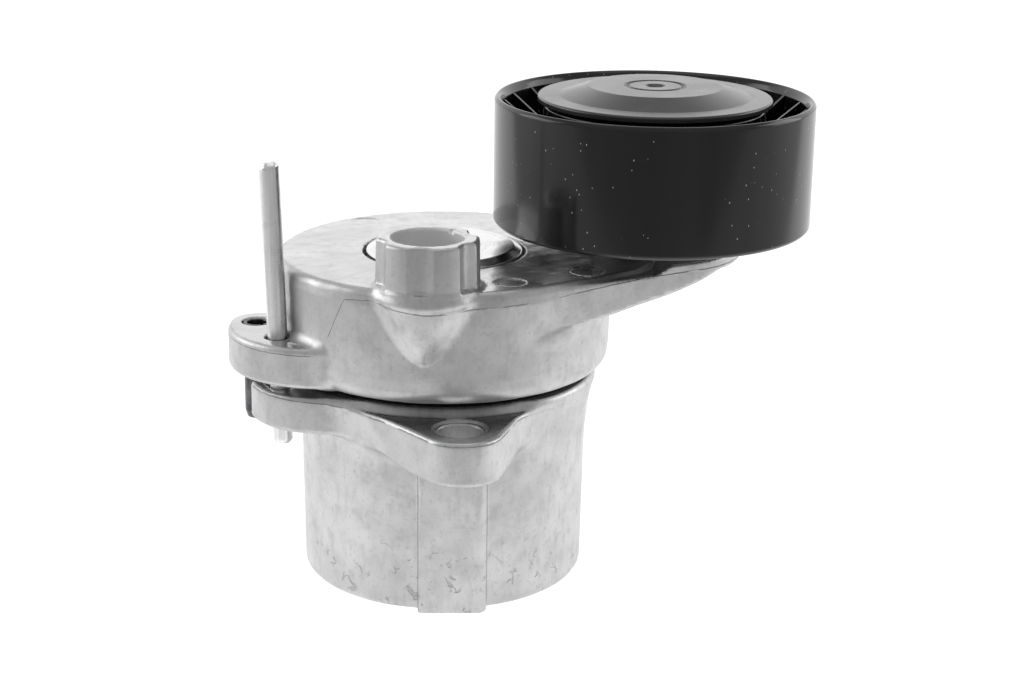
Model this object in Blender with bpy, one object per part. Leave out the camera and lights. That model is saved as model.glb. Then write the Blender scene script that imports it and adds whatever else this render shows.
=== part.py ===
"""Automatic belt tensioner with a smooth idler pulley.

A cast can holds a torsion spring. A cast arm turns on the can's pivot shaft and carries the pulley
on a ball bearing. A steel pin through the arm's ear locks the arm to the can for fitting.
Lengths below are in millimetres; +Z runs up the pivot, the pulley is at +X, the lock pin at -X.
"""

import math

import bmesh
import bpy
from mathutils import Matrix, Vector

MM = 0.001
SEGMENTS = 48
INNER_SEGMENTS = 32
GAP = 0.3

# Base: the can, its mounting ears and the notch for the lock pin.
CAN_FOOT_R = 29.0
CAN_TOP_R = 29.6
CAN_RIM_R = 31.2
CAN_RIM_Z = 43.4
CAN_SHOULDER_Z = 31.5
CAN_FLOOR = 4.5
CAN_BORE_R = 26.5
SOCKET_R = 11.8
SOCKET_Z = 16.0
EAR_TOP_Z = 43.0
EAR_FOOT_Z = 35.6
BOLT_TOP_Z = 41.8
BOLT_FOOT_Z = 32.8
BOLT_R = 4.4
FRONT_BOLT = (3.15, -36.4)
BACK_BOLT = (-3.15, 36.4)
RIB_LEFT = -5.0
RIB_RIGHT = 8.7
RIB_FACE_Y = -30.1
DAMPER_BORE_R = 24.0
DAMPER_LOW_Z = 28.0
DAMPER_TOP_Z = 42.6
SEAL_BORE_R = 27.2
SEAL_R = 29.0
SEAL_TOP_Z = 46.8

# Pivot.
SHAFT_R = 7.0
SHAFT_TOP_Z = 69.8
SHAFT_HEAD_R = 7.4
STUD_R = 5.0
PLATE_R = 15.9
PLATE_LOW_Z = 66.6
PLATE_TOP_Z = 68.5
BUSH_LENGTH = 12.0
BUSHES = (("pivot_bush_lower", 17.5), ("pivot_bush_upper", 51.5))

# Arm: the hub, the ear for the lock pin, the wrench boss and the tip under the pulley.
HUB_R = 34.2
HUB_TOP_Z = 67.4
HUB_FOOT_Z = 44.7
HUB_BORE_R = 29.5
HUB_ROOF_Z = 62.0
TUBE_R = 13.0
TUBE_FOOT_Z = 17.0
TUBE_BORE_R = 9.5
RECESS_R = 16.6
RECESS_Z = 65.0
ARM_EAR_TOP_Z = 53.3
ARM_EAR_FOOT_Z = 45.1
WRENCH = (-3.1, -27.6)
WRENCH_R = 9.85
WRENCH_GROOVE = 1.0
WRENCH_BORE_R = 7.0
WRENCH_TOP_Z = 77.0
WRENCH_TURN = math.radians(-128)
WRENCH_FOOT_Z = 66.2
GUSSET_TOP_Z = 66.9
GUSSET_APEX = (-0.9, -5.8, 53.6)
TIP_R = 18.5
TIP_BOSS_Z = 76.0
TIP_FOOT_Z = 60.9
TIP_PEG_R = 8.0
THREAD_LOW_Z = 61.6
REACH_TOP_Z = 66.9
REACH_FOOT_Z = 55.0
REACH_SLOPE = 0.12
NOSE_FOOT_Z = 52.5
NOSE_TOP_Z = 66.7
NOSE_SLOPE = 0.225
SLEEVE = (-38.0, -4.8)
SLEEVE_R = 2.75
SLEEVE_BORE_R = 2.0
SLEEVE_LOW_Z = 33.2
SLEEVE_TAPER = 2.0

# Lock pin. It leans a little, away from the pivot.
PIN_R = 2.0
PIN_FOOT = (-32.3, -15.5, 31.2)
PIN_LENGTH = 57.7
PIN_LEAN = math.radians(-1.67)

# Pulley and bearing.
PULLEY = (42.5, 5.0)
PULLEY_R = 32.5
PULLEY_LOW_Z = 72.4
PULLEY_TOP_Z = 98.2
RIM_WALL = 2.0
WEB_LOW_Z = 84.0
WEB_TOP_Z = 87.0
PULLEY_HUB_R = 22.6
BEARING_LOW_Z = 79.3
BEARING_TOP_Z = 91.3
BEARING_R = 20.0
BEARING_BORE_R = 8.5
PITCH_R = 14.25
BALL_R = 3.3
BALLS = 8
RIBS = 24
RIB_HALF = 0.5
RIB_FALL = 7.0
CAP_R = 23.8
CAP_CROWN_Z = 100.5
CAP_FLANGE_Z = 98.5
BOLT_FLANGE_R = 9.6
BOLT_HEAD_R = 7.5
BOLT_HEAD_TOP_Z = 97.0
BOLT_LOW_Z = 61.9

# Torsion spring.
SPRING_R = 20.5
WIRE_R = 2.4
SPRING_LOW_Z = 8.6
SPRING_TOP_Z = 57.5
SPRING_TURNS = 6


def clear_scene():
    for old in list(bpy.data.objects):
        bpy.data.objects.remove(old)


def finish(name, colour, roughness, metallic):
    made = bpy.data.materials.new(name)
    made.use_nodes = True
    shader = made.node_tree.nodes["Principled BSDF"]
    shader.inputs["Base Color"].default_value = (*colour, 1.0)
    shader.inputs["Roughness"].default_value = roughness
    shader.inputs["Metallic"].default_value = metallic
    return made


def arc(centre, radius, start=0.0, stop=360.0, steps=24):
    """Points in the plane along an arc, in degrees anticlockwise from +X."""
    angles = [math.radians(start + (stop - start) * i / steps) for i in range(steps + 1)]
    return [(centre[0] + radius * math.cos(a), centre[1] + radius * math.sin(a)) for a in angles]


def turn_sign(a, b, c):
    return (b[0] - a[0]) * (c[1] - a[1]) - (b[1] - a[1]) * (c[0] - a[0])


def half_hull(points):
    chain = []
    for point in points:
        while len(chain) > 1 and turn_sign(chain[-2], chain[-1], point) <= 1e-9:
            chain.pop()
        chain.append(point)
    return chain[:-1]


def hull(points):
    """Convex outline around the points, anticlockwise."""
    ordered = sorted(set(points))
    return half_hull(ordered) + half_hull(ordered[::-1])


def add_object(name, points, faces, look, at=(0.0, 0.0, 0.0), smooth_angle=35):
    """A closed mesh from points in millimetres about the place `at`."""
    mesh = bpy.data.meshes.new(name)
    mesh.from_pydata([Vector(p) * MM for p in points], [], faces)
    made = bmesh.new()
    made.from_mesh(mesh)
    bmesh.ops.recalc_face_normals(made, faces=made.faces)
    made.to_mesh(mesh)
    made.free()
    mesh.shade_smooth()
    mesh.set_sharp_from_angle(angle=math.radians(smooth_angle))
    if look:
        mesh.materials.append(look)
    thing = bpy.data.objects.new(name, mesh)
    thing.location = Vector(at) * MM
    bpy.context.scene.collection.objects.link(thing)
    return thing


def turned(name, profile, look=None, centre=(0.0, 0.0), segments=SEGMENTS):
    """A closed profile of (radius, z) points turned about a vertical axis. Radius 0 ends on the axis."""
    points = []
    rows = []
    for radius, z in profile:
        if radius < 1e-6:
            rows.append([len(points)] * segments)
            points.append((0.0, 0.0, z))
            continue
        rows.append([len(points) + i for i in range(segments)])
        for x, y in arc((0.0, 0.0), radius, 0.0, 360.0, segments)[:segments]:
            points.append((x, y, z))
    faces = []
    for low, high in zip(rows, rows[1:] + rows[:1]):
        for i in range(segments):
            j = (i + 1) % segments
            corners = list(dict.fromkeys((low[i], low[j], high[j], high[i])))
            if len(corners) > 2:
                faces.append(corners)
    return add_object(name, points, faces, look, (*centre, 0.0))


def slab(name, outline, low, high, look=None, at=(0.0, 0.0, 0.0), slope=0.0):
    """An outline in the plane, extruded from low to high. The underside may rise with x by `slope`."""
    count = len(outline)
    points = [(x, y, low + slope * x) for x, y in outline]
    points += [(x, y, high) for x, y in outline]
    faces = [list(range(count))[::-1], list(range(count, 2 * count))]
    for i in range(count):
        j = (i + 1) % count
        faces.append([i, j, count + j, count + i])
    return add_object(name, points, faces, look, at)


def rod(name, radius, low, high, look=None, centre=(0.0, 0.0), chamfer=0.0, segments=20):
    profile = [(0.0, high)]
    if chamfer:
        profile += [(radius - chamfer, high), (radius, high - chamfer)]
        profile += [(radius, low + chamfer), (radius - chamfer, low)]
    else:
        profile += [(radius, high), (radius, low)]
    profile.append((0.0, low))
    return turned(name, profile, look, centre, segments)


def tube(name, inner, outer, low, high, look=None, centre=(0.0, 0.0), segments=SEGMENTS):
    profile = [(inner, high), (outer, high), (outer, low), (inner, low)]
    return turned(name, profile, look, centre, segments)


def combine(target, other, operation):
    """Adds a Boolean to the target and hides the shape it uses."""
    other.hide_render = True
    other.display_type = "WIRE"
    step = target.modifiers.new(f"{operation.lower()} {other.name}", "BOOLEAN")
    step.operation = operation
    step.solver = "EXACT"
    step.object = other


def join(target, *others):
    for other in others:
        combine(target, other, "UNION")


def cut(target, *others):
    for other in others:
        combine(target, other, "DIFFERENCE")


def lean(thing):
    """Leans a shape about the lock pin's foot, so that it follows the pin."""
    bpy.context.view_layer.update()
    foot = Vector(PIN_FOOT) * MM
    tilt = Matrix.Rotation(PIN_LEAN, 4, "Y")
    thing.matrix_world = Matrix.Translation(foot) @ tilt @ Matrix.Translation(-foot) @ thing.matrix_world


def hang(things, axis):
    """Parents the things to an empty on their joint's axis without moving them."""
    bpy.context.view_layer.update()
    for thing in things:
        placed = thing.matrix_world.copy()
        thing.parent = axis
        thing.matrix_parent_inverse = axis.matrix_world.inverted()
        thing.matrix_world = placed


def axis_empty(name, at):
    made = bpy.data.objects.new(name, None)
    made.empty_display_size = 20 * MM
    made.location = Vector(at) * MM
    bpy.context.scene.collection.objects.link(made)
    return made


def bolt_ear(name, side):
    """One mounting ear: a rounded lobe round the bolt hole, widening to the can.

    The back ear is the front one turned half round the pivot.
    """
    lobe = arc((-side * 1.4, side * 39.5), 6.0) + arc((-side * 5.4, side * 39.5), 6.0)
    root = arc((side * 8.0, side * 20.0), 10.3) + arc((-side * 10.0, side * 20.0), 10.4)
    return slab(name, hull(lobe + root), BOLT_FOOT_Z, BOLT_TOP_Z)


def pin_notch():
    """The way the lock pin takes past the can's ear as the arm swings: a slot open to the back."""
    radius = math.hypot(PIN_FOOT[0], PIN_FOOT[1])
    end = 180.0 + math.degrees(math.atan2(-PIN_FOOT[1], -PIN_FOOT[0]))
    width = PIN_R + 0.4
    centre = (radius * math.cos(math.radians(end)), radius * math.sin(math.radians(end)))
    outline = arc((0.0, 0.0), radius - width, 150.0, end, 24)
    outline += arc(centre, width, end + 180.0, end, 10)[1:-1]
    outline += arc((0.0, 0.0), radius + width, end, 197.0, 4)
    outline += arc((0.0, 0.0), 46.0, 197.0, 150.0, 16)
    return slab("pin notch", outline, 30.0, 50.0)


def base_housing(look):
    outer = [(0.0, CAN_RIM_Z), (CAN_RIM_R, CAN_RIM_Z), (CAN_TOP_R, CAN_SHOULDER_Z)]
    outer += [(CAN_FOOT_R + 0.05, 2.0), (CAN_FOOT_R - 0.5, 0.6), (CAN_FOOT_R - 1.8, 0.0), (0.0, 0.0)]
    housing = turned("base_housing", outer, look)
    left = arc((-24.2, -8.6), 15.0, 190.0, 275.0) + arc((0.0, 0.0), 28.0)
    left_ear = slab("pin ear", hull(left), EAR_FOOT_Z, EAR_TOP_Z)
    rib_points = [(RIB_LEFT, RIB_FACE_Y), (RIB_RIGHT, RIB_FACE_Y), (RIB_RIGHT, -20.0), (RIB_LEFT, -20.0)]
    rib = slab("front rib", rib_points, 0.0, BOLT_FOOT_Z + 1.0)
    front = bolt_ear("front bolt ear", -1.0)
    back = bolt_ear("back bolt ear", 1.0)
    join(housing, left_ear, front, back, rib)
    hollow = [(0.0, 50.0), (CAN_BORE_R, 50.0), (CAN_BORE_R - 0.3, CAN_FLOOR), (SOCKET_R + 0.4, CAN_FLOOR)]
    hollow += [(SOCKET_R, SOCKET_Z), (SHAFT_R + GAP, SOCKET_Z), (SHAFT_R + GAP, CAN_FLOOR), (0.0, CAN_FLOOR)]
    cut(housing, turned("can hollow", hollow), pin_notch())
    for name, bolt in (("front bolt hole", FRONT_BOLT), ("back bolt hole", BACK_BOLT)):
        sink = [(0.0, 46.0), (BOLT_R + 0.8, 46.0), (BOLT_R + 0.8, BOLT_TOP_Z), (BOLT_R, BOLT_TOP_Z - 0.8)]
        sink += [(BOLT_R, BOLT_FOOT_Z - 4.0), (0.0, BOLT_FOOT_Z - 4.0)]
        cut(housing, turned(name, sink, None, bolt, 32))
    return housing


def pivot_shaft(look):
    """The fixed pivot. Its end is riveted over the plate, which keeps the arm on."""
    foot = CAN_FLOOR + GAP
    step = PLATE_LOW_Z - GAP
    seat = PLATE_TOP_Z + GAP
    profile = [(0.0, SHAFT_TOP_Z), (SHAFT_HEAD_R - 2.0, SHAFT_TOP_Z), (SHAFT_HEAD_R - 0.5, SHAFT_TOP_Z - 0.4)]
    profile += [(SHAFT_HEAD_R, seat), (STUD_R, seat), (STUD_R, step)]
    profile += [(SHAFT_R, step), (SHAFT_R, foot + 0.8), (SHAFT_R - 0.8, foot), (0.0, foot)]
    return turned("pivot_shaft", profile, look, segments=INNER_SEGMENTS)


def end_plate(look):
    profile = [(STUD_R + GAP, PLATE_TOP_Z), (PLATE_R - 0.3, PLATE_TOP_Z), (PLATE_R, PLATE_TOP_Z - 0.3)]
    profile += [(PLATE_R, PLATE_LOW_Z), (STUD_R + GAP, PLATE_LOW_Z)]
    return turned("end_plate", profile, look)


def spring(look):
    """A round wire wound in a helix, with flat ends."""
    sides = 6
    steps = SPRING_TURNS * 18
    rise = SPRING_TOP_Z - SPRING_LOW_Z
    points = []
    for i in range(steps + 1):
        angle = 2 * math.pi * SPRING_TURNS * i / steps
        z = SPRING_LOW_Z + rise * i / steps
        for k in range(sides):
            around = 2 * math.pi * k / sides
            radius = SPRING_R + WIRE_R * math.cos(around)
            points.append((radius * math.cos(angle), radius * math.sin(angle), z + WIRE_R * math.sin(around)))
    faces = [list(range(sides)), list(range(steps * sides, (steps + 1) * sides))]
    for i in range(steps):
        for k in range(sides):
            low = i * sides
            turn = (k + 1) % sides
            faces.append([low + k, low + turn, low + sides + turn, low + sides + k])
    return add_object("torsion_spring", points, faces, look)


def wrench_outline():
    """Six round lobes with grooves between them, as on an external hexalobular drive."""
    outline = []
    for i in range(72):
        angle = 2 * math.pi * i / 72
        radius = WRENCH_R - WRENCH_GROOVE * max(-math.cos(6 * (angle - WRENCH_TURN)), 0.0)
        outline.append((radius * math.cos(angle), radius * math.sin(angle)))
    return outline


def gusset():
    """The slanting cone that carries the wrench boss down the hub's wall."""
    rim = [(x, y, GUSSET_TOP_Z) for x, y in arc((0.0, 0.0), WRENCH_R + 0.2, 0.0, 360.0, 32)[:32]]
    faces = [list(range(32))]
    faces += [[i, (i + 1) % 32, 32] for i in range(32)]
    return add_object("wrench gusset", rim + [GUSSET_APEX], faces, None, (*WRENCH, 0.0))


def tensioner_arm(look):
    outer = [(0.0, HUB_TOP_Z), (HUB_R - 0.7, HUB_TOP_Z), (HUB_R - 0.2, HUB_TOP_Z - 0.8), (HUB_R, 64.3)]
    outer += [(HUB_R - 0.4, 49.5), (HUB_R - 0.8, 46.0), (HUB_R - 1.8, HUB_FOOT_Z), (0.0, HUB_FOOT_Z)]
    arm = turned("tensioner_arm", outer, look)
    ear = arc((-37.6, -3.9), 5.9) + arc((-24.3, -5.2), 19.4, 184.0, 272.0) + [(-18.0, -20.0), (-18.0, 2.0)]
    pin_ear = slab("arm pin ear", hull(ear), ARM_EAR_FOOT_Z, ARM_EAR_TOP_Z)
    hub_side = arc((0.0, 0.0), 31.5, steps=36)
    nose = slab("arm nose", hull(hub_side + arc(PULLEY, TIP_R)), NOSE_FOOT_Z, NOSE_TOP_Z, slope=NOSE_SLOPE)
    shoulder = [(38.6, -15.5), (41.0, -12.0), (42.6, -7.8), (44.0, 5.0), (40.7, 17.3), (38.0, 20.5)]
    shoulder.append((34.0, 22.5))
    reach = slab("arm reach", hull(hub_side + shoulder), REACH_FOOT_Z, REACH_TOP_Z, slope=REACH_SLOPE)
    tip = [(0.0, TIP_BOSS_Z), (10.8, TIP_BOSS_Z), (12.2, 67.2), (TIP_R - 0.3, 66.5), (TIP_R - 0.3, 65.9)]
    tip += [(TIP_PEG_R, 62.0), (TIP_PEG_R, TIP_FOOT_Z), (0.0, TIP_FOOT_Z)]
    tip_boss = turned("tip boss", tip, None, PULLEY, 32)
    wrench = slab("wrench boss", wrench_outline(), WRENCH_FOOT_Z, WRENCH_TOP_Z, None, (*WRENCH, 0.0))
    join(arm, pin_ear, nose, reach, tip_boss, wrench, gusset())
    cut(arm, rod("hub hollow", HUB_BORE_R, 40.0, HUB_ROOF_Z, segments=SEGMENTS))
    join(arm, rod("hub tube", TUBE_R, TUBE_FOOT_Z, 63.6, segments=32))
    cut(arm, rod("tube bore", TUBE_BORE_R, 10.0, 80.0, segments=32))
    cut(arm, rod("plate recess", RECESS_R, RECESS_Z, 72.0, segments=SEGMENTS))
    cut(arm, rod("wrench bore", WRENCH_BORE_R, 66.0, 80.0, None, WRENCH, segments=32))
    cut(arm, rod("tip thread", STUD_R + GAP, THREAD_LOW_Z, 80.0, None, PULLEY))
    cut(arm, rod("sleeve hole", SLEEVE_R + GAP, 40.0, 60.0, None, SLEEVE))
    pin_hole = rod("arm pin hole", PIN_R + 0.55, 40.0, 60.0, None, PIN_FOOT[:2])
    lean(pin_hole)
    cut(arm, pin_hole)
    return arm


def stop_sleeve(look):
    """A rolled spring sleeve that hangs below the ear and catches the can's ear if the arm overruns."""
    top = ARM_EAR_TOP_Z - 0.1
    profile = [(SLEEVE_BORE_R, top), (SLEEVE_R, top), (SLEEVE_R, SLEEVE_LOW_Z + SLEEVE_TAPER)]
    profile += [(SLEEVE_R - 0.6, SLEEVE_LOW_Z), (SLEEVE_BORE_R, SLEEVE_LOW_Z)]
    return turned("stop_sleeve", profile, look, SLEEVE, 20)


def lock_pin(look):
    low = PIN_FOOT[2]
    pin = rod("lock_pin", PIN_R, low, low + PIN_LENGTH, look, PIN_FOOT[:2], chamfer=0.5)
    lean(pin)
    return pin


def pulley_rim(look):
    rim_r = PULLEY_R - RIM_WALL
    hub_bore = BEARING_R + GAP
    hub_top = PULLEY_TOP_Z - 1.3
    hub_low = BEARING_LOW_Z - GAP - 1.8
    edge = 0.5
    profile = [(rim_r + 1.0, PULLEY_TOP_Z), (PULLEY_R - edge, PULLEY_TOP_Z), (PULLEY_R, PULLEY_TOP_Z - edge)]
    profile += [(PULLEY_R, PULLEY_LOW_Z + edge), (PULLEY_R - edge, PULLEY_LOW_Z)]
    profile += [(rim_r + 0.6, PULLEY_LOW_Z), (rim_r - 0.4, WEB_LOW_Z)]
    profile += [(PULLEY_HUB_R, WEB_LOW_Z), (PULLEY_HUB_R, hub_low), (hub_bore - 1.5, hub_low)]
    profile += [(hub_bore - 1.5, BEARING_LOW_Z - GAP), (hub_bore, BEARING_LOW_Z - GAP)]
    profile += [(hub_bore, hub_top), (PULLEY_HUB_R - 0.6, hub_top), (PULLEY_HUB_R, WEB_TOP_Z)]
    profile += [(rim_r - 0.4, WEB_TOP_Z), (rim_r, PULLEY_TOP_Z - 1.5)]
    rim = turned("pulley_rim", profile, look, PULLEY)
    root_r = PULLEY_HUB_R - 0.8
    upper = ("upper ribs", WEB_TOP_Z - 0.5, PULLEY_TOP_Z - 1.3, RIB_FALL)
    lower = ("lower ribs", WEB_LOW_Z + 0.5, PULLEY_LOW_Z + 1.8, -RIB_FALL)
    for name, root, tip, fall in (upper, lower):
        points = []
        faces = []
        for i in range(RIBS):
            spin = Matrix.Rotation(2 * math.pi * (i + 0.5) / RIBS, 3, "Z")
            first = len(points)
            for z, drop in ((root, 0.0), (tip, fall)):
                points.append(tuple(spin @ Vector((root_r, -RIB_HALF, z - drop))))
                points.append(tuple(spin @ Vector((rim_r + 0.3, -RIB_HALF, z))))
                points.append(tuple(spin @ Vector((rim_r + 0.3, RIB_HALF, z))))
                points.append(tuple(spin @ Vector((root_r, RIB_HALF, z - drop))))
            for face in ((3, 2, 1, 0), (4, 5, 6, 7), (0, 1, 5, 4), (1, 2, 6, 5), (2, 3, 7, 6), (3, 0, 4, 7)):
                faces.append([first + corner for corner in face])
        join(rim, add_object(name, points, faces, None, (*PULLEY, 0.0)))
    return rim


def raceway(side):
    """The groove that a ring holds the balls in: points on an arc of the ring's face."""
    middle = (BEARING_LOW_Z + BEARING_TOP_Z) / 2
    clear = BALL_R + 0.2
    angles = [math.radians(a) for a in (50, 25, 0, -25, -50)]
    return [(PITCH_R + side * clear * math.cos(a), middle + clear * math.sin(a)) for a in angles]


def bearing_rings(look):
    land = PITCH_R + (BALL_R + 0.2) * math.cos(math.radians(50))
    outer = [(land, BEARING_TOP_Z), (BEARING_R, BEARING_TOP_Z)]
    outer += [(BEARING_R, BEARING_LOW_Z), (land, BEARING_LOW_Z)]
    outer_ring = turned("bearing_outer_ring", outer + raceway(1)[::-1], look, PULLEY, INNER_SEGMENTS)
    land = 2 * PITCH_R - land
    inner = [(BEARING_BORE_R, BEARING_TOP_Z), (land, BEARING_TOP_Z)] + raceway(-1)
    inner += [(land, BEARING_LOW_Z), (BEARING_BORE_R, BEARING_LOW_Z)]
    return outer_ring, turned("bearing_inner_ring", inner, look, PULLEY, INNER_SEGMENTS)


def ball(name, radius, angle, look, segments=12):
    """A ball in the bearing, `angle` round the race."""
    middle = (BEARING_LOW_Z + BEARING_TOP_Z) / 2
    rings = segments // 2
    tilts = [math.pi * i / rings for i in range(rings + 1)]
    profile = [(radius * math.sin(t), radius * math.cos(t)) for t in tilts]
    profile[0] = (0.0, radius)
    profile[-1] = (0.0, -radius)
    thing = turned(name, profile, look, (0.0, 0.0), segments)
    place = (PULLEY[0] + PITCH_R * math.cos(angle), PULLEY[1] + PITCH_R * math.sin(angle), middle)
    thing.location = Vector(place) * MM
    return thing


def ball_set(ball_look, cage_look):
    cage = tube("bearing_cage", 12.9, 15.6, BEARING_LOW_Z + 1.4, 84.3, cage_look, PULLEY, 48)
    balls = []
    for i in range(BALLS):
        angle = 2 * math.pi * i / BALLS
        balls.append(ball(f"bearing_ball_{i + 1}", BALL_R, angle, ball_look))
        cut(cage, ball(f"cage pocket {i + 1}", BALL_R + 0.25, angle, None))
    return [cage] + balls


def bearing_seal(name, low, look):
    return tube(name, 12.3, 16.2, low, low + 0.8, look, PULLEY, INNER_SEGMENTS)


def bearing_spacer(look):
    """A flanged sleeve that centres the bearing on the bolt."""
    top = BEARING_TOP_Z - GAP
    flange_z = BEARING_LOW_Z - GAP
    profile = [(STUD_R + GAP, top), (BEARING_BORE_R - GAP, top), (BEARING_BORE_R - GAP, flange_z)]
    profile += [(10.8, flange_z), (10.8, TIP_BOSS_Z + GAP), (STUD_R + GAP, TIP_BOSS_Z + GAP)]
    return turned("bearing_spacer", profile, look, PULLEY, INNER_SEGMENTS)


def pulley_bolt(look):
    """A flanged hexagon bolt through the bearing into the arm."""
    flange = BEARING_TOP_Z + GAP
    profile = [(0.0, flange + 1.4), (6.9, flange + 1.4), (BOLT_FLANGE_R, flange + 0.6)]
    profile += [(BOLT_FLANGE_R, flange), (STUD_R, flange), (STUD_R, BOLT_LOW_Z + 0.7)]
    profile += [(STUD_R - 0.8, BOLT_LOW_Z), (0.0, BOLT_LOW_Z)]
    bolt = turned("pulley_bolt", profile, look, PULLEY, INNER_SEGMENTS)
    hexagon = arc((0.0, 0.0), BOLT_HEAD_R, 0.0, 360.0, 6)[:6]
    head = slab("bolt head", hexagon, flange + 0.9, BOLT_HEAD_TOP_Z, None, (*PULLEY, 0.0))
    join(bolt, head)
    return bolt


def dust_cap(look):
    """A pressed cover: flat flange, shallow cone, flat crown with a ring groove and a centre dimple."""
    crown = CAP_CROWN_Z
    flange = CAP_FLANGE_Z
    under = PULLEY_TOP_Z - 0.9
    profile = [(0.0, crown - 0.9), (1.2, crown - 0.9), (2.1, crown), (5.4, crown), (5.9, crown - 0.35)]
    profile += [(6.4, crown), (13.6, crown), (19.4, flange + 0.05), (CAP_R - 0.3, flange)]
    profile += [(CAP_R, flange - 0.3), (CAP_R, under), (20.0, under)]
    profile += [(20.0, 92.5), (18.6, 92.5), (18.6, under)]
    profile += [(13.3, crown - 1.4), (4.0, crown - 1.4), (3.0, crown - 2.3), (0.0, crown - 2.3)]
    return turned("dust_cap", profile, look, PULLEY, 40)


def build():
    clear_scene()
    cast = finish("cast aluminium", (0.62, 0.62, 0.62), 0.45, 0.9)
    steel = finish("machined steel", (0.70, 0.70, 0.71), 0.22, 1.0)
    dark_steel = finish("dark spring steel", (0.12, 0.12, 0.13), 0.4, 0.9)
    black = finish("black nylon", (0.012, 0.012, 0.013), 0.28, 0.0)
    grey = finish("grey nylon", (0.17, 0.17, 0.175), 0.55, 0.0)
    friction = finish("friction nylon", (0.30, 0.28, 0.24), 0.6, 0.0)
    rubber = finish("seal rubber", (0.03, 0.03, 0.03), 0.7, 0.0)

    base_housing(cast)
    pivot_shaft(steel)
    end_plate(steel)
    spring(dark_steel)
    tube("spring_seat", 17.5, 25.4, CAN_FLOOR + GAP, 5.8, friction, segments=INNER_SEGMENTS)
    damper = (DAMPER_BORE_R, CAN_BORE_R - 0.6, DAMPER_LOW_Z, DAMPER_TOP_Z)
    tube("damping_ring", *damper, friction, segments=INNER_SEGMENTS)
    tube("dust_seal_ring", SEAL_BORE_R, SEAL_R, CAN_RIM_Z + GAP, SEAL_TOP_Z, rubber)

    pivot = axis_empty("arm pivot", (0.0, 0.0, HUB_FOOT_Z))
    spin = axis_empty("pulley axis", (*PULLEY, PULLEY_LOW_Z))
    slide = axis_empty("lock pin axis", PIN_FOOT)

    outer_ring, inner_ring = bearing_rings(steel)
    on_arm = [tensioner_arm(cast), stop_sleeve(dark_steel), inner_ring, bearing_spacer(steel)]
    on_arm.append(pulley_bolt(steel))
    on_arm.append(tube("friction_disc", TUBE_BORE_R + 0.4, RECESS_R - 0.8, RECESS_Z + GAP, 66.3, friction))
    for name, low in BUSHES:
        inner = SHAFT_R + GAP
        outer = TUBE_BORE_R - GAP
        on_arm.append(tube(name, inner, outer, low, low + BUSH_LENGTH, friction, segments=INNER_SEGMENTS))
    on_pulley = [pulley_rim(black), outer_ring, dust_cap(grey)]
    on_pulley.append(bearing_seal("bearing_seal_front", BEARING_TOP_Z - 1.0, rubber))
    on_pulley.append(bearing_seal("bearing_seal_rear", BEARING_LOW_Z + 0.2, rubber))
    hang(on_pulley + ball_set(steel, friction), spin)
    hang([lock_pin(steel)], slide)
    hang(on_arm + [spin, slide], pivot)


build()
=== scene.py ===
"""Finished look of the belt tensioner: cast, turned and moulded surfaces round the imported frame.

Shapes are worked out in millimetres and built in metres, in the frame's own axes: +Z up the arm's
pivot, the pulley at +X, the wrench boss at -Y. The two castings are distance fields, meshed with a
surface net, so that every edge and corner has the radius that a casting has.
"""

import math

import bmesh
import bpy
import numpy as np
from mathutils import Matrix, Vector


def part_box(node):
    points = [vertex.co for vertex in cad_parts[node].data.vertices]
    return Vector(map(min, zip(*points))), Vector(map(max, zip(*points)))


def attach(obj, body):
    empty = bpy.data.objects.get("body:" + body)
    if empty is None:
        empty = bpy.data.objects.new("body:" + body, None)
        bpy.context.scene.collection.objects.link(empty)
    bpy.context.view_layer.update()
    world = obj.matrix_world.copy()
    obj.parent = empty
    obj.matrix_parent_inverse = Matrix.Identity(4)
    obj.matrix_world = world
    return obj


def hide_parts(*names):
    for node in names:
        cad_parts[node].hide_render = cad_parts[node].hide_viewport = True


MM = 0.001
NET_PITCH = 0.56
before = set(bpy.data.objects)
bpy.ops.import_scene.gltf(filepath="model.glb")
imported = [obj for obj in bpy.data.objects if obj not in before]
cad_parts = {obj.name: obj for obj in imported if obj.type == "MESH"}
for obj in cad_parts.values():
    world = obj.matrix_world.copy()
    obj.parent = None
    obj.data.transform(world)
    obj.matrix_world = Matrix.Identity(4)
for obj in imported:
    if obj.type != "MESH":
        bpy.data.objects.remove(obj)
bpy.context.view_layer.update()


def node_box(name):
    """Lowest and highest corner of a CAD node, in millimetres."""
    low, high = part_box(name)
    return np.array(low) / MM, np.array(high) / MM


def axis_of(name):
    """Centre of a CAD node in plan, in millimetres."""
    low, high = node_box(name)
    return (low[:2] + high[:2]) / 2


# Places taken from the frame.
PULLEY = axis_of("pulley_rim")
PULLEY_LOW, PULLEY_HIGH = (corner[2] for corner in node_box("pulley_rim"))
PULLEY_R = (node_box("pulley_rim")[1] - node_box("pulley_rim")[0])[0] / 2
SLEEVE = axis_of("stop_sleeve")
SLEEVE_LOW, SLEEVE_HIGH = (corner[2] for corner in node_box("stop_sleeve"))
SHAFT_LOW, SHAFT_HIGH = (corner[2] for corner in node_box("pivot_shaft"))
PLATE_LOW, PLATE_HIGH = (corner[2] for corner in node_box("end_plate"))
PLATE_R = node_box("end_plate")[1][0]
CAP_HIGH = node_box("dust_cap")[1][2]
BEARING_LOW, BEARING_HIGH = (corner[2] for corner in node_box("bearing_outer_ring"))

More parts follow.
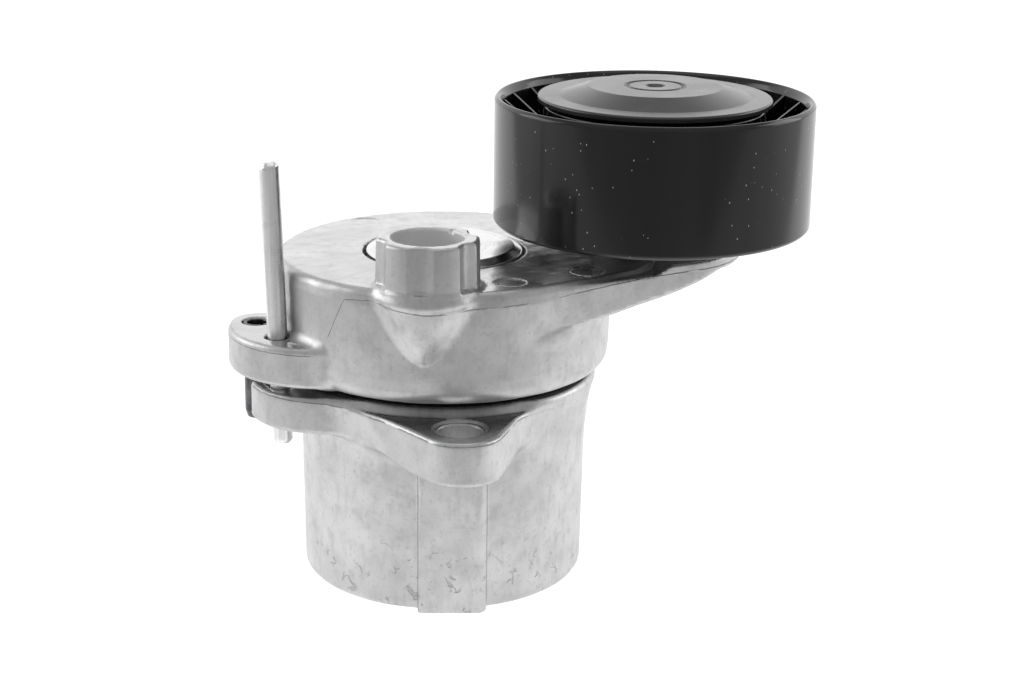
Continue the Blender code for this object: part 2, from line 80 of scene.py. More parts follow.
# Castings.
CAN_HEIGHTS = (0.0, 2.0, 25.0, 31.0, 35.8, 38.0, 40.2, 41.9, 43.4)
CAN_RADII = (29.0, 29.05, 29.3, 29.5, 30.0, 30.4, 30.9, 31.4, 31.3)
CAN_RIM_Z = 43.4
CAN_BORE_R = 26.5
CAN_FLOOR_Z = 4.5
SOCKET_R = 11.9
SOCKET_TOP_Z = 16.0
SOCKET_BORE_R = 7.3
RIB_LEFT_X, RIB_RIGHT_X = -5.0, 8.7
RIB_FRONT_Y = -30.1
BOLT_TOP_Z = 41.8
BOLT_FOOT_Z = 32.8
BOLT_R = 4.4
COUNTERSINK_DEPTH = 1.1
FRONT_BOLT = (3.15, -36.4)
BOLT_LOBE = (3.5, -37.4)
BOLT_LOBE_R = 8.2
PIN_FOOT = (-32.3, -15.5, 31.2)
PIN_LEAN = math.radians(-1.67)
PIN_R = 2.0
PIN_LENGTH = 57.7
PIN_HOLE_R = 2.55
PIN_NOTCH_R = 2.4
PIN_EAR_FOOT_Z = 35.6
HUB_HEIGHTS = (44.0, 46.0, 49.5, 64.3, 67.4)
HUB_RADII = (33.6, 33.6, 33.9, 34.2, 33.9)
HUB_TOP_Z = 67.4
HUB_FOOT_Z = 44.7
HUB_HOLLOW_R = 29.5
HUB_HOLLOW_TOP_Z = 62.0
TUBE_R = 13.0
TUBE_LOW_Z, TUBE_HIGH_Z = 17.0, 63.6
TUBE_BORE_R = 9.5
PLATE_SEAT_R = 16.6
PLATE_SEAT_Z = 65.0
ARM_EAR_LOW_Z, ARM_EAR_HIGH_Z = 45.1, 53.3
SLEEVE_HOLE_R = 3.05
REACH_ROOT_R = 33.4
DECK_END_X = 41.5
NOSE_TOP_Z = 66.7
NOSE_R = 18.5
PIN_MARKS = ((-16.9, 23.4, 2.9), (12.9, -24.8, 2.9), (28.1, -16.5, 3.2))
PIN_MARK_DEPTH = 0.26
TIP_R = 10.8
TIP_FOOT_Z, TIP_TOP_Z = 60.5, 76.0
PEG_R = 6.5
PEG_LOW_Z = 61.5
BOLT_BORE_R = 5.3
WRENCH = (-3.1, -27.6)
WRENCH_R = 9.85
WRENCH_TOP_Z = 77.0
WRENCH_FLOOR_Z = 66.0
WRENCH_BORE_R = 7.0
WRENCH_TURN = math.radians(-128)
GUSSET_POINT = (-4.0, -33.4, 53.6)
BASE_REGION = ((-41.0, -47.5, -1.2), (36.0, 47.5, 45.4))
ARM_REGION = ((-45.5, -40.5, 15.6), (63.0, 36.5, 78.6))

# Turned pieces.
PULLEY_HUB_R = 22.6
RIB_COUNT = 24
WEB_LOW_Z, WEB_HIGH_Z = 84.0, 87.0
RACE_PITCH_R = 14.25
RACE_GROOVE_R = 3.5
SHARP_ANGLE = math.radians(32)


# ---------------------------------------------------------------- distance fields

def fuse(a, b, radius):
    """Union of two solids with a fillet of the radius in the corner between them."""
    u = np.maximum(radius - a, 0.0)
    v = np.maximum(radius - b, 0.0)
    return np.maximum(radius, np.minimum(a, b)) - np.hypot(u, v)


def meet(a, b, radius):
    """Overlap of two solids, its edge rounded to the radius."""
    u = np.maximum(radius + a, 0.0)
    v = np.maximum(radius + b, 0.0)
    return np.minimum(-radius, np.maximum(a, b)) + np.hypot(u, v)


def carve(a, b, radius):
    return meet(a, -b, radius)


def round_post(x, y, centre, radius):
    return np.hypot(x - centre[0], y - centre[1]) - radius


def between(z, low, high):
    return np.abs(z - (low + high) / 2) - (high - low) / 2


def ease(t):
    """The step from 0 to 1, with a soft start and a soft end."""
    return t * t * (3 - 2 * t)


def upright(x, y, z, centre, radius, low, high, edge):
    """A round post with rounded ends."""
    return meet(round_post(x, y, centre, radius), between(z, low, high), edge)


def arc(centre, radius, start, stop, steps=24):
    """Points along an arc, in degrees anticlockwise from +X."""
    angles = np.radians(np.linspace(start, stop, steps + 1))
    return [(centre[0] + radius * math.cos(a), centre[1] + radius * math.sin(a)) for a in angles]


def turn_sign(a, b, c):
    return (b[0] - a[0]) * (c[1] - a[1]) - (b[1] - a[1]) * (c[0] - a[0])


def half_hull(points):
    chain = []
    for point in points:
        while len(chain) > 1 and turn_sign(chain[-2], chain[-1], point) <= 1e-9:
            chain.pop()
        chain.append(point)
    return chain[:-1]


def hull(points):
    """Convex outline around the points, anticlockwise."""
    ordered = sorted({(float(x), float(y)) for x, y in points})
    return half_hull(ordered) + half_hull(ordered[::-1])


def outline(x, y, points):
    """Distance to a closed outline in plan, negative inside."""
    nearest = np.full(np.broadcast(x, y).shape, 1e9)
    inside = np.zeros(nearest.shape, bool)
    for (ax, ay), (bx, by) in zip(points, points[1:] + points[:1]):
        ex, ey = bx - ax, by - ay
        wx, wy = x - ax, y - ay
        t = np.clip((wx * ex + wy * ey) / (ex * ex + ey * ey), 0.0, 1.0)
        nearest = np.minimum(nearest, (wx - t * ex) ** 2 + (wy - t * ey) ** 2)
        crosses = (ay > y) != (by > y)
        side = (x - ax) < ex * (y - ay) / (ey if ey else 1e-9)
        inside ^= crosses & side
    distance = np.sqrt(nearest)
    return np.where(inside, -distance, distance)


# ---------------------------------------------------------------- surface net

def slope_of(field, points, step=0.05):
    """Gradient of the field at the points."""
    rows = []
    for axis in range(3):
        shift = np.zeros(3)
        shift[axis] = step
        rows.append(field(*(points + shift).T) - field(*(points - shift).T))
    return np.stack(rows, axis=1) / (2 * step)


def surface_net(field, low, high, pitch):
    """Points and quads of the field's zero surface, one point for each grid cell that it crosses."""
    counts = np.ceil((np.array(high) - np.array(low)) / pitch).astype(int) + 1
    axes = [low[i] + pitch * np.arange(counts[i]) for i in range(3)]
    values = field(axes[0][:, None, None], axes[1][None, :, None], axes[2][None, None, :])
    inside = values < 0
    cells = counts - 1
    total = np.zeros((3, cells.prod()))
    hits = np.zeros(cells.prod())
    quads = []
    for axis in range(3):
        ahead = [slice(None)] * 3
        behind = [slice(None)] * 3
        ahead[axis] = slice(1, None)
        behind[axis] = slice(None, -1)
        crossed = inside[tuple(behind)] != inside[tuple(ahead)]
        at = np.argwhere(crossed)
        first = values[tuple(behind)][crossed]
        second = values[tuple(ahead)][crossed]
        crossing = at.astype(float)
        crossing[:, axis] += first / (first - second)
        other = [(axis + 1) % 3, (axis + 2) % 3]
        around = []
        for du, dv in ((0, 0), (1, 0), (1, 1), (0, 1)):
            cell = at.copy()
            cell[:, other[0]] -= du
            cell[:, other[1]] -= dv
            index = np.ravel_multi_index(tuple(cell.T), tuple(cells))
            around.append(index)
            hits += np.bincount(index, minlength=hits.size)
            for k in range(3):
                total[k] += np.bincount(index, weights=crossing[:, k], minlength=hits.size)
        ring = np.stack(around, axis=1)
        leaving = first < 0
        ring[~leaving] = ring[~leaving][:, ::-1]
        quads.append(ring)
    used = np.flatnonzero(hits)
    points = (total[:, used] / hits[used]).T * pitch + np.array(low)
    number = np.full(hits.size, -1)
    number[used] = np.arange(used.size)
    return points, number[np.concatenate(quads)]


def settle(field, points, pitch, passes=4):
    """Moves the net's points onto the surface itself."""
    for _ in range(passes):
        slope = slope_of(field, points)
        steep = np.maximum((slope ** 2).sum(axis=1), 0.05)
        step = -(field(*points.T) / steep)[:, None] * slope
        size = np.linalg.norm(step, axis=1, keepdims=True)
        points = points + step * np.minimum(1.0, 0.4 * pitch / np.maximum(size, 1e-9))
    return points


def cast_piece(name, field, low, high, pitch, look):
    """A casting from its field, with the field's own normals."""
    points, quads = surface_net(field, low, high, pitch)
    points = settle(field, points, pitch)
    slope = slope_of(field, points)
    normals = slope / np.maximum(np.linalg.norm(slope, axis=1, keepdims=True), 1e-9)
    mesh = bpy.data.meshes.new(name)
    mesh.from_pydata((points * MM).tolist(), [], quads.tolist())
    mesh.shade_smooth()
    mesh.normals_split_custom_set_from_vertices(normals.tolist())
    return place(name, mesh, look)


def place(name, mesh, look):
    mesh.materials.append(look)
    made = bpy.data.objects.new(name, mesh)
    bpy.context.scene.collection.objects.link(made)
    return made


# ---------------------------------------------------------------- castings

def wave(x, y, z):
    """Slight unevenness that a cast skin has, a few hundredths of a millimetre."""
    broad = np.sin(0.43 * x + 0.21 * z + 0.7) * np.sin(0.37 * y - 0.26 * z + 1.9)
    fine = np.sin(0.93 * x - 0.55 * y + 2.1) * np.sin(0.81 * z + 0.62 * y + 0.4)
    return 0.035 * broad + 0.015 * fine


def bolt_ear_plan(x, y):
    lobe = arc(BOLT_LOBE, BOLT_LOBE_R, 0, 360, 96)
    return outline(x, y, hull(lobe + [(-18.5, -22.5), (17.4, -21.5), (0.0, -14.0)]))


def bolt_ear(x, y, z):
    """The front ear. Its underside climbs towards both flanks, where it runs out into the can."""
    under = BOLT_FOOT_Z + 0.36 * np.maximum(x - 10.5, 0.0) + 0.26 * np.maximum(-6.5 - x, 0.0)
    return meet(bolt_ear_plan(x, y), under - z, 0.8)


def pin_notch_plan(x, y):
    """The way of the lock pin past the ear, open to the back."""
    radius = math.hypot(*PIN_FOOT[:2])
    end = 180.0 + math.degrees(math.atan2(-PIN_FOOT[1], -PIN_FOOT[0]))
    middle = (radius * math.cos(math.radians(end)), radius * math.sin(math.radians(end)))
    points = arc((0.0, 0.0), radius - PIN_NOTCH_R, 150.0, end, 16)
    points += arc(middle, PIN_NOTCH_R, end + 180.0, end, 8)[1:-1]
    points += arc((0.0, 0.0), radius + PIN_NOTCH_R, end, 197.0, 3)
    points += arc((0.0, 0.0), 48.0, 197.0, 150.0, 10)
    return outline(x, y, points)


def pin_ear(x, y, z):
    lobe = arc((-24.2, -8.6), 15.0, 190, 275, 48)
    plan = outline(x, y, hull(lobe + arc((0.0, 0.0), 28.0, 0, 360, 96)))
    return meet(plan, PIN_EAR_FOOT_Z - z, 0.7)


def rim_height(x, y):
    """Top of the can and its ears: the rim is highest, then the ears, then the bolts' seats."""
    at_bolt = np.clip((np.abs(y) - 15.0) / 11.0, 0.0, 1.0) * np.clip((24.0 - np.abs(x)) / 9.0, 0.0, 1.0)
    out = np.clip((np.hypot(x, y) - 31.6 + 2.6 * at_bolt) / 2.4, 0.0, 1.0)
    return CAN_RIM_Z - (0.4 + 1.3 * ease(at_bolt)) * ease(out)


def bolt_hole(x, y, z):
    """A through hole with a cast countersink."""
    across = np.hypot(x - FRONT_BOLT[0], y - FRONT_BOLT[1])
    return across - BOLT_R - np.clip(z - BOLT_TOP_Z + COUNTERSINK_DEPTH, 0.0, 1.3)


def base_field(x, y, z):
    radius = np.hypot(x, y)
    can = meet(radius - np.interp(z, CAN_HEIGHTS, CAN_RADII), -z, 1.8)
    rib = meet(between(x, RIB_LEFT_X, RIB_RIGHT_X), np.maximum(RIB_FRONT_Y - y, y + 20.0), 0.35)
    bevel = (x - RIB_RIGHT_X + RIB_FRONT_Y - y) * 0.707 + 0.75
    rib = meet(rib, bevel, 0.3)
    rib = meet(rib, between(z, 0.0, BOLT_FOOT_Z + 4.0), 0.6)
    body = fuse(can, rib, 0.45)
    body = fuse(body, bolt_ear(x, y, z), 3.0)
    body = fuse(body, bolt_ear(-x, -y, z), 3.0)
    body = fuse(body, pin_ear(x, y, z), 2.4)
    body = meet(body, z - rim_height(x, y), 0.9)
    body = carve(body, pin_notch_plan(x, y), 0.4)
    body = body + wave(x, y, z)
    hollow = meet(radius - CAN_BORE_R, CAN_FLOOR_Z - z, 1.2)
    body = carve(body, hollow, 0.5)
    socket = meet(meet(radius - SOCKET_R, z - SOCKET_TOP_Z, 0.6), 3.0 - z, 0.2)
    body = fuse(body, socket, 0.8)
    body = carve(body, np.maximum(radius - SOCKET_BORE_R, CAN_FLOOR_Z - z), 0.4)
    body = carve(body, bolt_hole(x, y, z), 0.15)
    return carve(body, bolt_hole(-x, -y, z), 0.15)


def wrench_boss(x, y, z):
    """Six rounded lobes with a little draft, as on an external hexalobular drive.

    Gives the boss, and apart from it what is cut out of it: the bore and a nick in its rim.
    """
    dx = x - WRENCH[0]
    dy = y - WRENCH[1]
    across = np.hypot(dx, dy)
    lobes = np.cos(6 * (np.arctan2(dy, dx) - WRENCH_TURN))
    groove = 1.15 * np.maximum(-lobes, 0.0)
    side = 0.85 * (across - (WRENCH_R - groove + 0.02 * (WRENCH_TOP_Z - z)))
    post = meet(side, z - WRENCH_TOP_Z, 0.6)
    collar = upright(x, y, z, WRENCH, WRENCH_R + 0.35, 65.2, 67.9, 0.5)
    flare = 0.35 * np.clip(z - WRENCH_TOP_Z + 0.5, 0.0, 0.5)
    bore = np.maximum(across - WRENCH_BORE_R - flare, WRENCH_FLOOR_Z - z)
    nick = np.sqrt((dx - 4.5) ** 2 + (dy - 5.4) ** 2 + (z - WRENCH_TOP_Z) ** 2) - 0.6
    return fuse(meet(post, 65.8 - z, 0.1), collar, 0.5), np.minimum(bore, nick)


def gusset(x, y, z):
    """Slanting cone that carries the wrench boss down the hub's wall to a point."""
    share = (z - GUSSET_POINT[2]) / 13.0
    dx = x - (GUSSET_POINT[0] + share * (WRENCH[0] - GUSSET_POINT[0]))
    dy = y - (GUSSET_POINT[1] + share * (WRENCH[1] - GUSSET_POINT[1]))
    width = 10.5 * np.sign(share) * np.abs(share) ** 0.72
    return meet(0.72 * (np.hypot(dx, dy) - width), z - 66.6, 1.0)


def arm_ear(x, y, z):
    ear = arc((-37.6, -3.9), 5.9, 0, 360, 72) + arc((-24.3, -5.2), 19.4, 184.0, 272.0, 60)
    plan = outline(x, y, hull(ear + [(-18.0, -20.0), (-18.0, 2.0)]))
    return meet(plan, between(z, ARM_EAR_LOW_Z, ARM_EAR_HIGH_Z), 1.0)


def underside(x):
    """Height of the reach's underside, which climbs towards its tip."""
    return np.minimum(52.6 + 0.21 * x + 0.010 * np.maximum(x - 43.8, 0.0) ** 2, 65.5)


def past_deck(x):
    """Rises from 0 to 1 across the outer end of the deck."""
    return np.clip((x - DECK_END_X) / 3.5, 0.0, 1.0)


def reach(x, y, z):
    """The arm from the hub to the pulley: a deck, and a wider nose that starts lower and ends higher."""
    hub = arc((0.0, 0.0), REACH_ROOT_R, 0, 360, 96)
    deck = hub + [(22.2, -26.1), (30.3, -21.6), (38.6, -15.5), (41.0, -12.0), (42.6, -7.8), (44.0, 5.0)]
    deck += [(40.7, 17.3), (38.0, 20.5), (34.0, 22.5)]
    nose = outline(x, y, hull(hub + arc(PULLEY, NOSE_R, 0, 360, 72)))
    nose_top = NOSE_TOP_Z + 1.4 * past_deck(x)
    nose = meet(meet(nose, z - nose_top, 0.5), underside(x) - z, 0.7)
    deck = meet(outline(x, y, hull(deck)), 55.4 + 0.12 * x - z, 1.0)
    return fuse(deck, nose, 0.25)


def pin_marks(x, y):
    """Distance in the plane to the round dents that the mould's pins leave in the top of the arm."""
    return np.minimum.reduce([np.hypot(x - px, y - py) - radius for px, py, radius in PIN_MARKS])


def arm_top(x, y):
    """Height at which the arm is cut off: flat, but for the mould's pin marks and a rise past the deck."""
    inside = np.clip(0.5 - pin_marks(x, y) / 1.1, 0.0, 1.0)
    return HUB_TOP_Z - PIN_MARK_DEPTH * ease(inside) + 2.0 * past_deck(x)


def arm_field(x, y, z):
    radius = np.hypot(x, y)
    hub = meet(radius - np.interp(z, HUB_HEIGHTS, HUB_RADII), HUB_FOOT_Z - z, 3.0)
    low = np.clip((underside(x) + 1.5 - z) / 4.0, 0.0, 1.0)
    near = np.clip((x - 9.0) / 17.0, 0.0, 1.0)
    fillet = 0.1 + ease(near) * (0.6 + 3.6 * ease(low))
    body = fuse(hub, reach(x, y, z), fillet)
    body = meet(body, z - arm_top(x, y), 1.5)
    body = fuse(body, arm_ear(x, y, z), 2.2)
    body = fuse(body, gusset(x, y, z), 1.3)
    body = body + wave(x, y, z)
    post, bore = wrench_boss(x, y, z)
    body = fuse(body, post, 1.0)
    tip = round_post(x, y, PULLEY, TIP_R + 0.18 * np.clip(TIP_TOP_Z - z, 0.0, 9.0))
    tip = meet(meet(tip, between(z, TIP_FOOT_Z, TIP_TOP_Z), 0.4), underside(x) + 0.6 - z, 0.3)
    body = fuse(body, tip, 0.9)
    body = fuse(body, upright(x, y, z, PULLEY, PEG_R, PEG_LOW_Z, 66.0, 0.6), 0.8)
    hollow = np.maximum(radius - HUB_HOLLOW_R, z - HUB_HOLLOW_TOP_Z)
    body = carve(body, hollow, 0.6)
    body = fuse(body, upright(x, y, z, (0.0, 0.0), TUBE_R, TUBE_LOW_Z, TUBE_HIGH_Z, 0.5), 1.0)
    body = carve(body, radius - TUBE_BORE_R, 0.4)
    body = carve(body, np.maximum(radius - PLATE_SEAT_R, PLATE_SEAT_Z - z), 0.25)
    body = carve(body, bore, 0.2)
    bolt_bore = np.maximum(round_post(x, y, PULLEY, BOLT_BORE_R), PEG_LOW_Z + 0.1 - z)
    body = carve(body, bolt_bore, 0.3)
    body = carve(body, round_post(x, y, SLEEVE, SLEEVE_HOLE_R), 0.25)
    lean = math.tan(PIN_LEAN) * (z - PIN_FOOT[2])
    return carve(body, np.hypot(x - PIN_FOOT[0] - lean, y - PIN_FOOT[1]) - PIN_HOLE_R, 0.3)


# ---------------------------------------------------------------- turned and swept pieces

def soften(profile, radius, steps=3):
    """A closed (radius, z) profile with each corner rounded, except on the axis.

    A point a little way along each long side keeps its shading flat.
    """
    count = len(profile)
    points = []
    for i, corner in enumerate(profile):
        here = Vector(corner)
        back = Vector(profile[i - 1]) - here
        on = Vector(profile[(i + 1) % count]) - here
        trim = min(radius, 0.45 * back.length, 0.45 * on.length)
        straight = abs(back.normalized().dot(on.normalized())) > 0.985
        if here.x < 1e-6 or trim < 1e-3 or straight:
            points.append(tuple(here))
            continue
        start = here + back.normalized() * trim
        stop = here + on.normalized() * trim
        if back.length > 5 * trim:
            points.append(tuple(here + back.normalized() * 2 * trim))
        for k in range(steps + 1):
            t = k / steps
            points.append(tuple(start * (1 - t) ** 2 + here * 2 * t * (1 - t) + stop * t ** 2))
        if on.length > 5 * trim:
            points.append(tuple(here + on.normalized() * 2 * trim))
    return points


def turned_mesh(name, profile, centre=(0.0, 0.0), segments=128, gap=None):
    """A profile of (radius, z), running top to bottom on its outer side, turned about a vertical axis.

    With a gap (start, stop) in degrees, the turn leaves that part open and closes its two ends.
    """
    start, stop = gap if gap else (0.0, 360.0)
    columns = segments if not gap else segments + 1
    angles = [math.radians(start + (stop - start) * i / segments) for i in range(columns)]
    points = []
    rows = []
    for radius, z in profile:
        if radius < 1e-6:
            rows.append([len(points)] * columns)
            points.append((centre[0], centre[1], z))
            continue
        rows.append([len(points) + i for i in range(columns)])
        for a in angles:
            points.append((centre[0] + radius * math.cos(a), centre[1] + radius * math.sin(a), z))
    faces = []
    for high, low in zip(rows, rows[1:] + rows[:1]):
        for i in range(segments):
            j = (i + 1) % columns
            corners = list(dict.fromkeys((high[i], low[i], low[j], high[j])))
            if len(corners) > 2:
                faces.append(corners)
    if gap:
        faces.append([row[0] for row in rows][::-1])
        faces.append([row[-1] for row in rows])
    return mesh_from(name, points, faces)


def mesh_from(name, points, faces):
    mesh = bpy.data.meshes.new(name)
    mesh.from_pydata([Vector(p) * MM for p in points], [], faces)
    made = bmesh.new()
    made.from_mesh(mesh)
    bmesh.ops.recalc_face_normals(made, faces=made.faces)
    made.to_mesh(mesh)
    made.free()
    mesh.shade_smooth()
    mesh.set_sharp_from_angle(angle=SHARP_ANGLE)
    return mesh


def united(mesh, extras, name):
    """One closed mesh from a mesh and the shapes that grow out of it."""
    host = bpy.data.objects.new(name, mesh)
    bpy.context.scene.collection.objects.link(host)
    helpers = [host]
    for i, extra in enumerate(extras):
        helper = bpy.data.objects.new(f"{name} extra {i}", extra)
        bpy.context.scene.collection.objects.link(helper)
        helpers.append(helper)
        step = host.modifiers.new(f"join {i}", "BOOLEAN")
        step.operation = "UNION"
        step.solver = "EXACT"
        step.object = helper
    bpy.context.view_layer.update()
    result = bpy.data.meshes.new_from_object(host.evaluated_get(bpy.context.evaluated_depsgraph_get()))
    for helper in helpers:
        bpy.data.objects.remove(helper)
    result.name = name
    result.materials.clear()
    result.shade_smooth()
    result.set_sharp_from_angle(angle=SHARP_ANGLE)
    return result


def ribs(name, count, near, far, half, root, edge, fall):
    """Thin plates round the pulley's axis, like spokes, from the web at `root` out to `edge`.

    Their free edge comes nearer to the web by `fall` on its way to the hub.
    """
    points = []
    faces = []
    for i in range(count):
        angle = 2 * math.pi * (i + 0.5) / count
        along = Vector((math.cos(angle), math.sin(angle)))
        across = Vector((-along.y, along.x)) * half
        first = len(points)
        for z, drop in ((root, 0.0), (edge, fall)):
            for r, side in ((near, -1), (far, -1), (far, 1), (near, 1)):
                at = Vector(PULLEY) + along * r + across * side
                points.append((at.x, at.y, z - (drop if r == near else 0.0)))
        for face in ((3, 2, 1, 0), (4, 5, 6, 7), (0, 1, 5, 4), (1, 2, 6, 5), (2, 3, 7, 6), (3, 0, 4, 7)):
            faces.append([first + corner for corner in face])
    return mesh_from(name, points, faces)


def swept_rod(name, path, radius, sides, look):
    """A round wire along a path of points, with closed ends."""
    path = [Vector(p) for p in path]
    points = []
    for i, here in enumerate(path):
        along = (path[min(i + 1, len(path) - 1)] - path[max(i - 1, 0)]).normalized()
        out = Vector((here.x, here.y, 0.0)).normalized()
        up = along.cross(out).normalized()
        out = up.cross(along)
        for k in range(sides):
            turn = 2 * math.pi * k / sides
            points.append(tuple(here + (out * math.cos(turn) + up * math.sin(turn)) * radius))
    faces = [list(range(sides)), list(range(len(points) - sides, len(points)))]
    for i in range(len(path) - 1):
        for k in range(sides):
            low = i * sides
            turn = (k + 1) % sides
            faces.append([low + k, low + turn, low + sides + turn, low + sides + k])
    return place(name, mesh_from(name, points, faces), look)


# ---------------------------------------------------------------- materials

class Nodes:
    """Short ways to make and wire the nodes of a tree."""

    def __init__(self, tree):
        self.tree = tree

    def node(self, kind, **settings):
        made = self.tree.nodes.new(kind)
        for key, value in settings.items():
            setattr(made, key, value)
        return made

    def link(self, source, target):
        if isinstance(source, (int, float)):
            target.default_value = source
        else:
            self.tree.links.new(source, target)

    def math(self, operation, *values):
        made = self.node("ShaderNodeMath", operation=operation)
        for value, socket in zip(values, made.inputs):
            self.link(value, socket)
        return made.outputs[0]

    def ramp(self, value, low, high, start=0.0, stop=1.0):
        """The value's range low to high, smoothly turned into start to stop."""
        made = self.node("ShaderNodeMapRange", interpolation_type="SMOOTHSTEP")
        self.link(value, made.inputs["Value"])
        for key, number in zip(("From Min", "From Max", "To Min", "To Max"), (low, high, start, stop)):
            self.link(number, made.inputs[key])
        return made.outputs["Result"]


class Look(Nodes):
    """A Principled material, with its textures and relief."""

    def __init__(self, name, roughness, metallic=0.0, specular=0.5):
        self.material = bpy.data.materials.new(name)
        self.material.use_nodes = True
        super().__init__(self.material.node_tree)
        self.shader = self.tree.nodes["Principled BSDF"]
        self.shader.inputs["Metallic"].default_value = metallic
        self.shader.inputs["Roughness"].default_value = roughness
        self.shader.inputs["Specular IOR Level"].default_value = specular
        self.place = self.node("ShaderNodeTexCoord").outputs["Object"]
        self.bump = None

    def stretched(self, scale):
        """The object's coordinates, scaled apart along the axes."""
        made = self.node("ShaderNodeMapping")
        made.inputs["Scale"].default_value = scale
        self.link(self.place, made.inputs["Vector"])
        return made.outputs[0]

    def polar(self, centre, around, along, out=0.0):
        """Coordinates about an upright axis: the angle, height and distance, each times its own scale."""
        parts = self.node("ShaderNodeSeparateXYZ")
        self.link(self.place, parts.inputs[0])
        x = self.math("SUBTRACT", parts.outputs[0], centre[0] * MM)
        y = self.math("SUBTRACT", parts.outputs[1], centre[1] * MM)
        squares = self.math("ADD", self.math("MULTIPLY", x, x), self.math("MULTIPLY", y, y))
        radius = self.math("SQRT", squares)
        joined = self.node("ShaderNodeCombineXYZ")
        self.link(self.math("MULTIPLY", self.math("ARCTAN2", y, x), around), joined.inputs[0])
        self.link(self.math("MULTIPLY", parts.outputs[2], along), joined.inputs[1])
        self.link(self.math("MULTIPLY", radius, out), joined.inputs[2])
        return joined.outputs[0]

    def stored(self, name):
        """A number that the mesh stores at each of its points."""
        return self.node("ShaderNodeAttribute", attribute_name=name).outputs["Fac"]

    def noise(self, scale, detail=3.0, roughness=0.5, at=None):
        made = self.node("ShaderNodeTexNoise")
        made.inputs["Scale"].default_value = scale
        made.inputs["Detail"].default_value = detail
        made.inputs["Roughness"].default_value = roughness
        self.link(at or self.place, made.inputs["Vector"])
        return made.outputs["Fac"]

    def cells(self, scale, at=None, feature="F1"):
        made = self.node("ShaderNodeTexVoronoi", feature=feature)
        made.inputs["Scale"].default_value = scale
        self.link(at or self.place, made.inputs["Vector"])
        return made.outputs["Distance"]

    def mix(self, share, first, second):
        made = self.node("ShaderNodeMix", data_type="RGBA")
        self.link(share, made.inputs["Factor"])
        for colour, socket in ((first, made.inputs["A"]), (second, made.inputs["B"])):
            if isinstance(colour, tuple):
                socket.default_value = (*colour, 1.0)
            else:
                self.link(colour, socket)
        return made.outputs["Result"]

    def add_bump(self, height, relief, strength):
        """Relief in millimetres, on top of what there is."""
        made = self.node("ShaderNodeBump")
        made.inputs["Strength"].default_value = strength
        made.inputs["Distance"].default_value = relief * MM
        self.link(height, made.inputs["Height"])
        if self.bump:
            self.link(self.bump, made.inputs["Normal"])
        self.bump = made.outputs["Normal"]

    def finish(self, colour, roughness=None):
        self.link(colour, self.shader.inputs["Base Color"])
        if roughness is not None:
            self.link(roughness, self.shader.inputs["Roughness"])
        if self.bump:
            self.link(self.bump, self.shader.inputs["Normal"])
        return self.material


def cold_wrinkles(look):
    """Short broken wrinkles, most of them low on the can, where the metal met a cold mould."""
    bent = look.node("ShaderNodeVectorMath", operation="ADD")
    wobble = look.node("ShaderNodeVectorMath", operation="SCALE")
    warp = look.node("ShaderNodeTexNoise")
    warp.inputs["Scale"].default_value = 260.0
    look.link(look.place, warp.inputs["Vector"])
    look.link(warp.outputs["Color"], wobble.inputs[0])
    wobble.inputs["Scale"].default_value = 6 * MM
    look.link(look.place, bent.inputs[0])
    look.link(wobble.outputs[0], bent.inputs[1])
    crack = look.ramp(look.cells(250.0, bent.outputs[0], "DISTANCE_TO_EDGE"), 0.02, 0.06, 1.0, 0.0)
    where = look.ramp(look.noise(300.0, 2.0), 0.55, 0.62)
    height = look.node("ShaderNodeSeparateXYZ")
    look.link(look.place, height.inputs[0])
    low = look.ramp(height.outputs[2], 3 * MM, 20 * MM, 1.0, 0.10)
    return look.math("MULTIPLY", look.math("MULTIPLY", crack, where), low)


def parting_line(look):
    """A thin ragged line with gaps in it, where the mould's halves met."""
    jitter = look.math("MULTIPLY", look.math("SUBTRACT", look.noise(900.0), 0.5), 0.25)
    ragged = look.math("ADD", look.stored("seam"), jitter)
    line = look.ramp(look.math("ABSOLUTE", ragged), 0.05, 0.17, 1.0, 0.0)
    return look.math("MULTIPLY", line, look.ramp(look.noise(160.0, 2.0), 0.36, 0.46))


